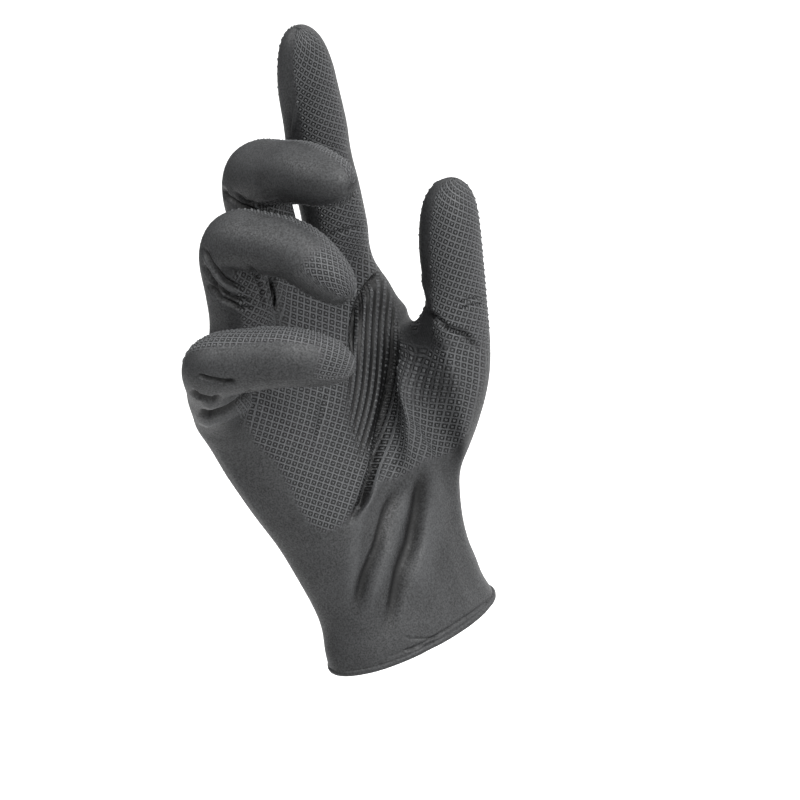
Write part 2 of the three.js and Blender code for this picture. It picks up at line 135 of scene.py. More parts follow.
# Folds of the film, drawn over the photo in its pixels. part names the parts that a fold lies on. deep is
# its depth in millimetres, below zero for a ridge. left and right are its widths in pixels, to the left
# and the right of a line that is drawn downwards, or below and above one that is drawn to the right.
# taper is how much narrower it is at its end. ends are the shares of the line over which it fades. tone
# is how far its depth paints shade into the film's colour where it is a fold, and light where it is a ridge.
# taper is 0 and tone is 1 where they aren't given.
FOLDS = (
    dict(name="ball of the thumb", part="palm thumb",
         deep=-7, left=22, right=48, tone=0.14, ends=(0.35, 0.35),
         line=((417, 335), (420, 380), (414, 430), (402, 470), (390, 500))),
    dict(name="side of the ball of the thumb", part="palm thumb",
         deep=-4, left=12, right=26, tone=0.14, ends=(0.3, 0.35),
         line=((406, 335), (408, 384), (400, 430), (388, 470))),
    dict(name="crease round the ball of the thumb", part="palm",
         deep=3.0, left=14, right=9, taper=0.5, tone=1.4, ends=(0.25, 0.2),
         line=((394, 318), (394, 345), (391, 384), (383, 425), (374, 470), (363, 502), (345, 528))),
    dict(name="edge beside that crease", part="palm",
         deep=-1.0, left=4, right=12, taper=0.4, ends=(0.2, 0.2),
         line=((404, 345), (402, 384), (393, 428), (382, 470), (369, 502), (352, 528))),
    dict(name="first ridge of the wrist", part="palm",
         deep=-1.0, left=14, right=8, ends=(0.3, 0.3),
         line=((368, 498), (357, 539), (351, 583), (347, 616))),
    dict(name="first valley of the wrist", part="palm",
         deep=2.2, left=8, right=8, ends=(0.25, 0.3),
         line=((400, 480), (387, 512), (377, 548), (367, 571), (359, 595), (352, 624))),
    dict(name="second ridge of the wrist", part="palm",
         deep=-1.2, left=8, right=9, ends=(0.2, 0.3),
         line=((411, 476), (399, 520), (388, 555), (375, 591), (364, 630))),
    dict(name="second valley of the wrist", part="palm",
         deep=2.4, left=9, right=12, ends=(0.15, 0.3),
         line=((421, 462), (416, 512), (410, 542), (400, 570), (393, 602), (384, 644))),
    dict(name="third ridge of the wrist", part="palm",
         deep=-1.2, left=9, right=24, ends=(0.2, 0.3),
         line=((436, 466), (430, 515), (425, 545), (417, 575), (411, 610))),
    dict(name="upper wrinkle of the hem", part="palm",
         deep=0.45, left=2, right=2, ends=(0.3, 0.3),
         line=((402, 636), (412, 639), (430, 638), (447, 633))),
    dict(name="lower wrinkle of the hem", part="palm",
         deep=0.45, left=2, right=2, ends=(0.3, 0.3),
         line=((398, 651), (412, 649), (430, 643), (440, 637))),
    dict(name="groove above the bead", part="palm",
         deep=0.6, left=2, right=2, ends=(0.1, 0.4),
         line=((492, 597), (474, 611), (447, 629), (425, 642), (400, 653), (378, 660))),
    dict(name="fold of the outer palm", part="palm",
         deep=0.9, left=6, right=5, ends=(0.3, 0.4),
         line=((325, 392), (321, 420), (316, 449))),
    dict(name="crease from the web", part="palm index",
         deep=2.4, left=4, right=9, tone=1.5, ends=(0.15, 0.4),
         line=((383, 268), (366, 287), (356, 306), (352, 327), (352, 350), (351, 372))),
    dict(name="edge of the outer palm", part="palm",
         deep=-0.5, left=6, right=8, ends=(0.2, 0.3),
         line=((212, 440), (232, 472), (256, 508), (282, 545))),
    dict(name="crease at the root of the thumb", part="thumb palm",
         deep=1.4, left=4, right=6, tone=1.6, ends=(0.1, 0.3),
         line=((426, 312), (434, 317), (447, 328), (466, 335), (482, 354))),
    dict(name="upper crease of the thumb's joint", part="thumb",
         deep=0.7, left=2.5, right=2.5, ends=(0.2, 0.2),
         line=((455, 305), (470, 299), (488, 296))),
    dict(name="lower crease of the thumb's joint", part="thumb",
         deep=0.7, left=2.5, right=2.5, ends=(0.2, 0.2),
         line=((457, 310), (472, 305), (486, 303))),
    dict(name="long fold beside the index stall", part="index",
         deep=-0.5, left=2.5, right=2.5, ends=(0.3, 0.3),
         line=((299, 95), (296, 108), (294, 122), (292, 136))),
    dict(name="crease at the index stall's root", part="index",
         deep=0.6, left=5, right=4, ends=(0.3, 0.3),
         line=((318, 236), (345, 231), (368, 224))),
    dict(name="outer crease of the middle joint", part="middle",
         deep=1.4, left=4, right=4, tone=1.6, ends=(0.2, 0.3),
         line=((220, 184), (227, 197), (241, 206), (258, 211), (272, 214))),
    dict(name="inner crease of the middle joint", part="middle",
         deep=0.7, left=3, right=3, tone=1.6, ends=(0.3, 0.3),
         line=((230, 187), (246, 202), (262, 205), (284, 203))),
    dict(name="ridge of the middle joint", part="middle",
         deep=-0.5, left=2.5, right=2.5, ends=(0.3, 0.3),
         line=((250, 201), (268, 200), (287, 197))),
    dict(name="side crease of the middle stall", part="middle",
         deep=0.35, left=5, right=8, ends=(0.3, 0.3),
         line=((254, 172), (258, 180), (263, 188))),
    dict(name="first arc of the ring joint", part="ring palm",
         deep=1.3, left=4, right=4, tone=1.6, ends=(0.2, 0.3),
         line=((201, 243), (211, 264), (225, 280), (241, 288), (256, 287))),
    dict(name="ridge between the ring arcs", part="ring palm",
         deep=-0.6, left=3, right=4, tone=1.8, ends=(0.2, 0.3),
         line=((202, 252), (213, 275), (229, 290), (246, 296))),
    dict(name="second arc of the ring joint", part="ring palm",
         deep=1.7, left=4, right=4, tone=1.6, ends=(0.2, 0.3),
         line=((203, 262), (216, 286), (233, 298), (249, 301), (260, 297))),
    dict(name="third arc of the ring joint", part="ring palm",
         deep=1.5, left=4, right=4, tone=1.6, ends=(0.2, 0.3),
         line=((206, 281), (221, 299), (241, 308), (260, 308))),
    dict(name="notch of the ring joint", part="ring",
         deep=1.2, left=5, right=3, tone=1.5, ends=(0.3, 0.2),
         line=((247, 263), (257, 275), (263, 290), (264, 310))),
    dict(name="slot under the ring stall", part="ring",
         deep=1.4, left=4, right=4, tone=2, ends=(0.3, 0.2),
         line=((267, 276), (271, 290), (276, 312))),
    dict(name="smile under the little stall", part="little palm",
         deep=2.4, left=5, right=5, tone=1.8, ends=(0.15, 0.2),
         line=((196, 411), (208, 415), (224, 410), (240, 400), (257, 390))),
    dict(name="ridge below that smile", part="little palm",
         deep=-0.8, left=4, right=5, tone=1.8, ends=(0.2, 0.3),
         line=((193, 419), (208, 424), (228, 418), (246, 407), (262, 396))),
    dict(name="ridge above that smile", part="little palm",
         deep=-0.6, left=4, right=4, tone=1.8, ends=(0.2, 0.3),
         line=((200, 404), (212, 407), (226, 402), (242, 393))),
    dict(name="first arc under the little stall", part="little palm",
         deep=1.6, left=4, right=4, tone=1.6, ends=(0.2, 0.3),
         line=((189, 389), (199, 397), (212, 400), (224, 395))),
    dict(name="second arc under the little stall", part="little palm",
         deep=1.5, left=4, right=4, tone=1.6, ends=(0.2, 0.3),
         line=((194, 374), (208, 379), (224, 382), (240, 380))),
)
# A fold fades where the skin turns from the camera, and where it belongs less to the fold's parts.
FOLD_FACING = (-0.1, 0.2)
FOLD_BELONGS = (0.2, 0.6)

# Folds up to NARROW_FOLD pixels wide get finer faces, once for each margin beside them in pixels.
NARROW_FOLD = 6
FINE_MARGINS = (4, 2)

# The fold depth that counts as 1 in the painted shade and light, and the limits of that painting, from
# painted light on a ridge to painted shade in a deep fold.
FULL_PAINTED_SHADE_DEPTH = 1.8 * MM
PAINTED_SHADE_LIMITS = (-1, 1.6)

# The grip's net: its pitch, and how far its columns lean in the photo. Between RIB_LEVELS, in the photo's
# pixels, COLUMN_LEAN changes to the RIB_LEAN that the stretched film has above them.
GRIP_PITCH = 0.00204
COLUMN_LEAN = math.radians(18)
RIB_LEAN = math.radians(3)
RIB_LEVELS = (350, 450)

# Where the grip lies: its outline on the palm in the photo's pixels, and its reach on the back.
PALM_GRIP = (
    (235, 395), (244, 415), (256, 443), (277, 464), (292, 489), (300, 508), (312, 525), (325, 531),
    (342, 524), (360, 500), (378, 482), (391, 478), (412, 468), (424, 457), (447, 453), (460, 443),
    (469, 426), (474, 407), (482, 384), (486, 350), (455, 345), (425, 350), (404, 342), (397, 305),
    (380, 262), (350, 200), (200, 200), (225, 360),
)
GRIP_EDGE_PIXELS = 5
BACK_GRIP = dict(middle=0.008, across=0.036, low=0.055, fade=0.005)

# The grip's soft edges on a stall: in degrees round it, and as a share of its length at its tip.
GRIP_EDGE_DEGREES = 8
TIP_FADE = 0.05

# The skin changes from front to back between less and more than this, either side of zero, in its normal's
# share of the way forward or towards the camera.
TURN_EDGE = 0.1

# A stall's measure is fitted to the palm's within so many degrees of its pad.
PAD_HALF = 90

# Where the film is stretched, as outlines in the photo's pixels: ribs in the palm and fainter ones over the
# ball of the thumb, each with its strength, and the smooth web. The web ends where the skin belongs to the
# thumb's stall, between the shares THUMB_FREE.
RIBS = (
    (1.0, ((378, 272), (360, 300), (350, 330), (346, 372), (349, 420), (360, 456), (378, 440), (388, 400),
           (396, 350), (398, 318), (394, 290))),
    (0.55, ((402, 340), (425, 346), (456, 372), (462, 392), (430, 402), (402, 408))),
)
RIB_EDGE_PIXELS = 9
WEB = (
    (384, 250), (389, 285), (397, 315), (402, 342), (425, 346), (452, 350), (447, 330), (430, 312),
    (415, 318), (400, 295),
)
WEB_EDGE_PIXELS = 5
THUMB_FREE = (0.5, 0.9)

# A stud's half width at its foot and its top, as shares of the pitch, how high it stands and how deep it
# is set. It stands at the middle of a mesh of the net, where the grip is stronger than STUD_GRIP and the
# net keeps within STUD_PITCHES times its pitch. A face whose area in the net is below SMALLEST_AREA has
# none. NEIGHBOURS are the meshes, counted from the one under a face's middle, whose stud may be on it.
STUD_FOOT = 0.21
STUD_TOP = 0.11
STUD_HEIGHT = 0.25 * MM
STUD_ROOT = 0.15 * MM
STUD_GRIP = 0.5
STUD_PITCHES = (0.5, 1.7)
MESH_MIDDLE = 0.5
SMALLEST_AREA = 1e-6
NEIGHBOURS = ((0, 0), (0, 1), (0, -1), (1, 0), (-1, 0), (1, 1), (1, -1), (-1, 1), (-1, -1))

# A stud's corners go round its foot and then round its top, each in the order STUD_RING. After them come
# its faces, by corner, and its corners in mirror order.
STUD_RING = ((-1, -1), (1, -1), (1, 1), (-1, 1))
STUD_CORNERS = 8
STUD_FACES = ((3, 2, 1, 0), (4, 5, 6, 7), (0, 1, 5, 4), (1, 2, 6, 5), (2, 3, 7, 6), (3, 0, 4, 7))
STUD_MIRRORED = (1, 0, 3, 2, 5, 4, 7, 6)

# The floor and the light. The world shines with WALL_LIGHT, from its strength away from WALL_SIDE to that
# towards it, and changes between the cosines WALL_FADE. A light has a name, a place, a size and a power.
FLOOR_SIDE = 200
FLOOR_LEVEL = -0.1
FLOOR_TONE = (0.62, 0.62, 0.62, 1)
FLOOR_ROUGHNESS = 0.9
WALL_SIDE = (0.75, -0.5, 0.45)
WALL_LIGHT = (0.1, 4.3)
WALL_FADE = (-0.4, 0.9)
LIGHT_AIM = (0.02, 0, 0.1)
LIGHTS = (
    ("key_light", (0.6, -0.7, 0.65), 0.45, 15),
    ("top_light", (-0.35, -0.1, 0.9), 0.4, 6),
)

# The net's profile, by the distance from a stud's middle in pitches: where its line rises, where its stud
# and its rib fall, the rib's height from top to bottom, and the height of the dots on it.
LINE_EDGE = (0.29, 0.42)
STUD_EDGE = (0.05, 0.24)
RIB_EDGE = (0.08, 0.4)
RIB_HEIGHTS = (0.5, -0.25)
DOT_HEIGHT = 0.6

# The film's tone goes from DARK at 0 to PALE at 1. Plain film has PLAIN_TONE. The grain and the broad
# grain change it by these factors. The net's height over NET_MIDDLE paints shade into its pits and light
# onto its lines and studs, and the folds paint shade into their hollows and light onto their ridges by the
# factor after that.
DARK = (0.001, 0.001, 0.0011, 1)
PALE = (0.034, 0.035, 0.0365, 1)
PLAIN_TONE = 0.33
GRAIN_TONE = 1.2
BROAD_TONE = 0.25
GRAIN_MIDDLE = 0.5
NET_MIDDLE = 0.34
PAINTED_SHADE_TONE = 0.36
SPECULAR = 0.2

# The grain: its scale, the broad grain's share of that, and the roughness from its lows to its highs.
GRAIN_SCALE = 1800.0
BROAD_SHARE = 0.06
GRAIN_DETAIL = 3
GRAIN_LIMITS = (0.3, 0.7)
ROUGHNESS = (0.66, 0.48)

# Distance and strength of the two bumps.
GRAIN_BUMP = (0.06 * MM, 0.8)
NET_BUMP = (0.35 * MM, 1.0)


def unit(way):
    return way / np.linalg.norm(way)


ACROSS = np.array([math.cos(PALM_TURN), math.sin(PALM_TURN), 0.0])
FORWARD = np.array([math.sin(PALM_TURN), -math.cos(PALM_TURN), 0.0])

# The camera's right, up and back, turned from a level view by its lean and its roll.
LEVEL_UP = np.array([0.0, math.sin(CAMERA_LEAN), math.cos(CAMERA_LEAN)])
CAMERA_BACK = np.array([0.0, -math.cos(CAMERA_LEAN), math.sin(CAMERA_LEAN)])
CAMERA_RIGHT = np.array([math.cos(CAMERA_ROLL), 0.0, 0.0]) - math.sin(CAMERA_ROLL) * LEVEL_UP
CAMERA_UP = np.array([math.sin(CAMERA_ROLL), 0.0, 0.0]) + math.cos(CAMERA_ROLL) * LEVEL_UP
CAMERA_PLACE = (
    CAMERA_RIGHT * (PHOTO_SIDE / 2 - WRIST_PIXEL[0]) * PIXEL
    + CAMERA_UP * (WRIST_PIXEL[1] - PHOTO_SIDE / 2) * PIXEL
    + CAMERA_BACK * (PLANE_DEPTH + CAMERA_DISTANCE)
)


def make_camera():
    camera_data = bpy.data.cameras.new("photo_camera")
    camera_data.sensor_width = SENSOR
    camera_data.lens = SENSOR * CAMERA_DISTANCE / (PHOTO_SIDE * PIXEL)
    camera_data.clip_start = CLIP_START
    camera = bpy.data.objects.new("photo_camera", camera_data)
    bpy.context.scene.collection.objects.link(camera)
    turn = Matrix((CAMERA_RIGHT, CAMERA_UP, CAMERA_BACK)).transposed()
    camera.matrix_world = Matrix.Translation(Vector(CAMERA_PLACE)) @ turn.to_4x4()
    bpy.context.scene.camera = camera


def to_pixels(places):
    """Where points of the model fall in the photo."""
    seen = places - CAMERA_PLACE
    scale = CAMERA_DISTANCE / PIXEL / -(seen @ CAMERA_BACK)
    right = PHOTO_SIDE / 2 + (seen @ CAMERA_RIGHT) * scale
    down = PHOTO_SIDE / 2 - (seen @ CAMERA_UP) * scale
    return np.stack([right, down], 1)


def smooth_step(low, high, value):
    share = np.clip((value - low) / (high - low), 0, 1)
    return share * share * (3 - 2 * share)


def turned_from(angle, middle):
    """How many degrees an angle lies from another, either way round."""
    return np.abs((angle - middle + 180) % 360 - 180)


# Middle lines of the stalls and the measure that they give the skin.
def bone_line(stall):
    """A stall's middle line: points, their ways on and to the pad, and the length and the bend so far."""
    turn = math.radians(stall["facing"])
    splay = math.radians(stall["splay"])
    bend_way = np.array([math.cos(turn), math.sin(turn), 0.0])
    side = np.cross(UP, bend_way)
    straight = UP * math.cos(splay) + side * math.sin(splay)
    side = side * math.cos(splay) - UP * math.sin(splay)
    across, forward, along = stall["knuckle"]
    corners = [ACROSS * across * PALM_BREADTH + FORWARD * forward * PALM_DEPTH + UP * along * HAND_LENGTH]
    tilt = 0.0
    for k, bend in enumerate(stall["bends"]):
        tilt += math.radians(bend)
        bone = stall["long"] * (stall["joints"][k + 1] - stall["joints"][k])
        corners.append(corners[k] + (straight * math.cos(tilt) + bend_way * math.sin(tilt)) * bone)
    reach = JOINT_ROUND * stall["long"]
    line = [corners[0]]
    for before, corner, after in zip(corners, corners[1:], corners[2:]):
        first = corner + unit(before - corner) * reach
        last = corner + unit(after - corner) * reach
        for t in np.linspace(0, 1, JOINT_POINTS):
            line.append(first * (1 - t) ** 2 + corner * 2 * t * (1 - t) + last * t * t)
    line.append(corners[-1])
    line = np.array(line)
    lengths = np.concatenate([[0], np.cumsum(np.linalg.norm(np.diff(line, axis=0), axis=1))])
    places = np.linspace(0, lengths[-1], LINE_POINTS)
    points = np.stack([np.interp(places, lengths, line[:, k]) for k in range(3)], 1)
    ways = np.gradient(points, axis=0)
    ways /= np.linalg.norm(ways, axis=1)[:, None]
    bent = np.arctan2(ways @ bend_way, ways @ straight)
    pads = bend_way * np.cos(bent)[:, None] - straight * np.sin(bent)[:, None]
    return dict(points=points, ways=ways, pads=pads, side=side, places=places, bent=bent)


def measure_on(stall, line, places):
    """A stall's own measure of points.

    along is the length along it, angle the degrees round it from the side that it bends to, turned how
    far that is from the middle of its pad, far the distance from its middle line, and u and v the skin's
    measure round it and along it.
    """
    nearest = np.zeros(len(places), int)
    best = np.full(len(places), np.inf)
    for k, point in enumerate(line["points"]):
        far = ((places - point) ** 2).sum(1)
        closer = far < best
        nearest[closer] = k
        best[closer] = far[closer]
    away = places - line["points"][nearest]
    ahead = (away * line["ways"][nearest]).sum(1)
    along = line["places"][nearest] + ahead
    to_side = away @ line["side"]
    to_pad = (away * line["pads"][nearest]).sum(1)
    angle = np.degrees(np.arctan2(to_side, to_pad))
    turned = turned_from(angle, stall["pad"][0])
    u = stall["wide"] / 2 * np.arcsin(np.sin(np.radians(angle - stall["pad"][0])))
    # The skin over a bend is longer on the back and shorter on the pad, and changes over along the side.
    face = 2 * smooth_step(SIDE_BAND[0], SIDE_BAND[1], np.abs(angle)) - 1
    v = along + stall.get("arc", 1) * face * HALF_DEPTH * stall["wide"] * line["bent"][nearest]
    return dict(along=along, angle=angle, turned=turned, far=np.sqrt(best), u=u, v=v)


LINES = {stall["name"]: bone_line(stall) for stall in STALLS}


# Helpers for editing a mesh.
def only(piece):
    for other in bpy.context.view_layer.objects:
        other.select_set(False)
    piece.select_set(True)
    bpy.context.view_layer.objects.active = piece


def numbers_of(items, name, width, kind=float):
    """A property of a mesh's vertices, edges or the like, as a row of width numbers for each."""
    values = np.zeros(len(items) * width, kind)
    items.foreach_get(name, values)
    return values.reshape(-1, width)


def vertex_places(piece):
    return numbers_of(piece.data.vertices, "co", 3)


def vertex_normals(piece):
    return numbers_of(piece.data.vertices, "normal", 3)


def face_middles(piece):
    return numbers_of(piece.data.polygons, "center", 3)


def edge_ends(piece):
    return numbers_of(piece.data.edges, "vertices", 2, int)


def move_vertices(piece, places):
    piece.data.vertices.foreach_set("co", places.ravel())
    piece.data.update()


def store(mesh, name, values):
    """Stores a number or a vector for each vertex under a name."""
    kind, field = ("FLOAT", "value") if values.ndim == 1 else ("FLOAT_VECTOR", "vector")
    mesh.attributes.new(name, kind, "POINT").data.foreach_set(field, values.ravel())


def select_faces(piece, chosen):
    """Selects just these faces in object mode."""
    piece.data.vertices.foreach_set("select", np.zeros(len(piece.data.vertices), bool))
    piece.data.edges.foreach_set("select", np.zeros(len(piece.data.edges), bool))
    piece.data.polygons.foreach_set("select", chosen)


def select_rim(wall):
    """Selects the edges round a wall's opening in object mode."""
    sides = np.zeros(len(wall.data.edges), int)
    np.add.at(sides, numbers_of(wall.data.loops, "edge_index", 1, int).ravel(), 1)
    rim = sides == 1
    on_rim = np.zeros(len(wall.data.vertices), bool)
    on_rim[edge_ends(wall)[rim].ravel()] = True
    wall.data.polygons.foreach_set("select", np.zeros(len(wall.data.polygons), bool))
    wall.data.edges.foreach_set("select", rim)
    wall.data.vertices.foreach_set("select", on_rim)


def edit(piece, kind, *steps):
    """Takes steps in edit mode, on the faces or the edges that are selected."""
    only(piece)
    bpy.ops.object.mode_set(mode="EDIT")
    bpy.ops.mesh.select_mode(type=kind)
    for step in steps:
        step()
    bpy.ops.object.mode_set(mode="OBJECT")


def apply_subdivision(piece, levels):
    only(piece)
    modifier = piece.modifiers.new("rounding", "SUBSURF")
    modifier.levels = levels
    modifier.render_levels = levels
    bpy.ops.object.modifier_apply(modifier=modifier.name)


# The film's two walls, its hem and its bead.
def cut_film():
    """The outer and the inner wall of the CAD film, without its bead, as two meshes of four-sided faces."""
    film = bpy.data.objects.new("glove_skin", frame["nodes"]["glove_film"].data.copy())
    bpy.context.scene.collection.objects.link(film)
    film.data.materials.clear()
    edit(
        film,
        "FACE",
        lambda: bpy.ops.mesh.select_all(action="SELECT"),
        lambda: bpy.ops.mesh.remove_doubles(threshold=MERGE_REACH),
        bpy.ops.mesh.customdata_custom_splitnormals_clear,
        lambda: bpy.ops.mesh.select_all(action="DESELECT"),
    )
    middles = face_middles(film)
    height = middles[:, 2] + middles[:, 0] * math.tan(CUFF_SLANT)
    select_faces(film, height < BEAD_DIAMETER + BEAD_CLEARANCE)
    edit(
        film,
        "FACE",
        lambda: bpy.ops.mesh.delete(type="FACE"),
        lambda: bpy.ops.mesh.select_all(action="SELECT"),
        lambda: bpy.ops.mesh.tris_convert_to_quads(face_threshold=math.pi, shape_threshold=math.pi),
        lambda: bpy.ops.mesh.separate(type="LOOSE"),
    )
    walls = sorted(bpy.context.selected_objects, key=lambda wall: max(wall.dimensions))
    return walls[-1], walls[0]


def draw_out_hem(wall):
    """Draws a wall's edge out to the middle of the bead."""
    select_rim(wall)
    downward = dict(value=(0, 0, -HEM_REACH))
    edit(wall, "EDGE", lambda: bpy.ops.mesh.extrude_edges_move(TRANSFORM_OT_translate=downward))


def make_bead(outer):
    """A tube round the opening, from the edge of the outer wall, as a mesh of its own."""
    select_rim(outer)
    edit(
        outer,
        "EDGE",
        bpy.ops.mesh.duplicate,
        lambda: bpy.ops.mesh.separate(type="SELECTED"),
    )
    bead = [piece for piece in bpy.context.selected_objects if piece != outer][0]
    places = vertex_places(bead)
    inward = (places.mean(0) - places) * [1, 1, 0]
    inward /= np.linalg.norm(inward, axis=1)[:, None]
    move_vertices(bead, places + inward * BEAD_INSET)
    only(bead)
    bead.vertex_groups.clear()
    bpy.ops.object.convert(target="CURVE")
    bead.data.bevel_depth = BEAD_DIAMETER / 2
    bead.data.bevel_resolution = BEAD_ROUNDNESS
    bpy.ops.object.convert(target="MESH")
    bead.data.shade_smooth()
    return bead


# Which part of the glove each vertex belongs to.
def mark_stalls(wall):
    """Gives the wall a vertex group for each stall, from 0 at its root to 1 where its own measure holds."""
    places = vertex_places(wall)
    ends = edge_ends(wall)
    measures = [measure_on(stall, LINES[stall["name"]], places) for stall in STALLS]
    nearest = np.argmin([found["far"] / stall["wide"] for stall, found in zip(STALLS, measures)], axis=0)
    for k, (stall, found) in enumerate(zip(STALLS, measures)):
        share = found["along"] / stall["long"]
        allowed = (share > stall["start"]) & (found["far"] < MEMBER_REACH * stall["wide"])
        allowed &= (nearest == k) | (share > FREE_SHARE)
        tip = LINES[stall["name"]]["points"][-1]
        member = np.zeros(len(places), bool)
        member[np.argmin(((places - tip) ** 2).sum(1))] = True
        count = 0
        while member.sum() > count:
            count = member.sum()
            touched = member[ends].any(1)
            member[ends[touched].ravel()] = True
            member &= allowed
        weights = member * smooth_step(stall["start"], stall["full"], share)
        group = wall.vertex_groups.new(name=stall["name"])
        for vertex in np.flatnonzero(weights > 0):
            group.add([int(vertex)], float(weights[vertex]), "REPLACE")


def part_weights(wall):
    """How far each vertex belongs to each stall and, for the rest, to the palm."""
    weights = np.zeros((len(wall.data.vertices), len(STALLS)))
    for k, vertex in enumerate(wall.data.vertices):
        for member in vertex.groups:
            weights[k, member.group] = member.weight
    total = weights.sum(1)
    weights /= np.maximum(total, 1)[:, None]
    parts = {stall["name"]: weights[:, k] for k, stall in enumerate(STALLS)}
    parts["palm"] = 1 - weights.sum(1)
    return parts


def share_in(parts, fold):
    """How far each vertex belongs to the parts that a fold lies on."""
    return sum(parts[part] for part in fold["part"].split())


# Lines and outlines drawn over the photo.
def place_on_line(line, pixels):
    """Signed distance of pixels to a line of points, and where along it they lie, from 0 to 1."""
    line = np.array(line, float)
    spans = np.diff(line, axis=0)
    sizes = np.linalg.norm(spans, axis=1)
    starts = np.concatenate([[0], np.cumsum(sizes)])
    best = np.full(len(pixels), np.inf)
    signed = np.full(len(pixels), np.inf)
    along = np.zeros(len(pixels))
    for start, span, size, before in zip(line, spans, sizes, starts):
        away = pixels - start
        share = np.clip((away @ span) / size**2, 0, 1)
        rest = away - share[:, None] * span
        far = np.linalg.norm(rest, axis=1)
        closer = far < best
        best[closer] = far[closer]
        side = np.sign(span[0] * rest[:, 1] - span[1] * rest[:, 0])
        signed[closer] = (far * side)[closer]
        along[closer] = (before + share * size)[closer] / starts[-1]
    return signed, along


def inside_outline(outline, pixels):
    """Distance of pixels into a closed outline, below zero outside it."""
    closed = list(outline) + [outline[0]]
    signed, _ = place_on_line(closed, pixels)
    crossings = np.zeros(len(pixels), int)
    for (x0, y0), (x1, y1) in zip(closed, closed[1:]):
        spans = (pixels[:, 1] >= min(y0, y1)) & (pixels[:, 1] < max(y0, y1))
        if y0 != y1:
            crossings += spans & (pixels[:, 0] < x0 + (pixels[:, 1] - y0) * (x1 - x0) / (y1 - y0))
    return np.abs(signed) * np.where(crossings % 2, 1, -1)


def soft_outline(outline, edge, pixels):
    """1 inside an outline and 0 outside it, with a soft edge."""
    return smooth_step(-edge, edge, inside_outline(outline, pixels))


# Folds.
def fold_moves(wall, outward):
    """How the folds move each vertex. outward are the directions that point out of the glove."""
    places = vertex_places(wall)
    pixels = to_pixels(places)
    to_camera = CAMERA_PLACE - places
    away = np.linalg.norm(to_camera, axis=1)
    to_camera /= away[:, None]
    facing = smooth_step(*FOLD_FACING, (outward * to_camera).sum(1))
    parts = part_weights(wall)
    depths = np.zeros(len(places))
    fold_painted_light_and_shade = np.zeros(len(places))
    for fold in FOLDS:
        signed, along = place_on_line(fold["line"], pixels)
        wide = np.where(signed > 0, fold["left"], fold["right"]) * (1 - fold.get("taper", 0) * along)
        profile = smooth_step(0, 1, 1 - np.abs(signed) / wide)
        first, last = fold["ends"]
        fade = smooth_step(0, first, along) * smooth_step(0, last, 1 - along)
        fade = fade * smooth_step(*FOLD_BELONGS, share_in(parts, fold)) * facing
        depths += fold["deep"] * MM * profile * fade
        # Painted shade: a fold's depth darkens the film's colour in its hollow, and a ridge or swelling is
        # painted paler as painted light.
        fold_painted_light_and_shade += fold.get("tone", 1) * fold["deep"] * MM * profile * fade
    store(wall.data, "painted_light_and_shade", np.clip(fold_painted_light_and_shade / FULL_PAINTED_SHADE_DEPTH, *PAINTED_SHADE_LIMITS))
    return -outward * depths[:, None]


def refine_folds(wall):
    """Divides the faces near the narrow folds, so that their edges come out sharp."""
    for margin in FINE_MARGINS:
        parts = part_weights(wall)
        pixels = to_pixels(face_middles(wall))
        toward = numbers_of(wall.data.polygons, "normal", 3) @ CAMERA_BACK > 0
        first = numbers_of(wall.data.polygons, "loop_start", 1, int).ravel()
        near_vertex = numbers_of(wall.data.loops, "vertex_index", 1, int).ravel()[first]
        chosen = np.zeros(len(wall.data.polygons), bool)
        for fold in FOLDS:
            width = min(fold["left"], fold["right"])
            if width > NARROW_FOLD:
                continue
            signed, _ = place_on_line(fold["line"], pixels)
            belongs = share_in(parts, fold)[near_vertex] > FOLD_BELONGS[0]
            chosen |= (np.abs(signed) < width + margin) & belongs & toward
        select_faces(wall, chosen)
        edit(wall, "FACE", lambda: bpy.ops.mesh.subdivide(number_cuts=1))


# The grip.
def front_net(pixels):
    """The palm's own measure, as its net lies in the photo: columns that lean and rows that cross them."""
    levels = np.arange(PHOTO_SIDE)
    leans = np.tan(RIB_LEAN + (COLUMN_LEAN - RIB_LEAN) * smooth_step(*RIB_LEVELS, levels))
    drift = np.interp(pixels[:, 1], levels, np.cumsum(leans))
    column = (pixels[:, 0] + drift) * math.cos(COLUMN_LEAN) * PIXEL
    row = (pixels[:, 1] * math.cos(COLUMN_LEAN) - pixels[:, 0] * math.sin(COLUMN_LEAN)) * PIXEL
    return np.stack([column + row, column - row], 1) / math.sqrt(2)


def carried_over(own, other, shared):
    """A stall's own measure, turned and moved to fit the palm's best where they share the skin."""
    shared = shared / max(shared.sum(), TINY)
    own_away = own - shared @ own
    other_middle = shared @ other
    other_away = other - other_middle
    turn = math.atan2(
        (shared * (own_away[:, 0] * other_away[:, 1] - own_away[:, 1] * other_away[:, 0])).sum(),
        (shared * (own_away[:, 0] * other_away[:, 0] + own_away[:, 1] * other_away[:, 1])).sum(),
    )
    cosine = math.cos(turn)
    sine = math.sin(turn)
    return own_away @ np.array([[cosine, sine], [-sine, cosine]]) + other_middle


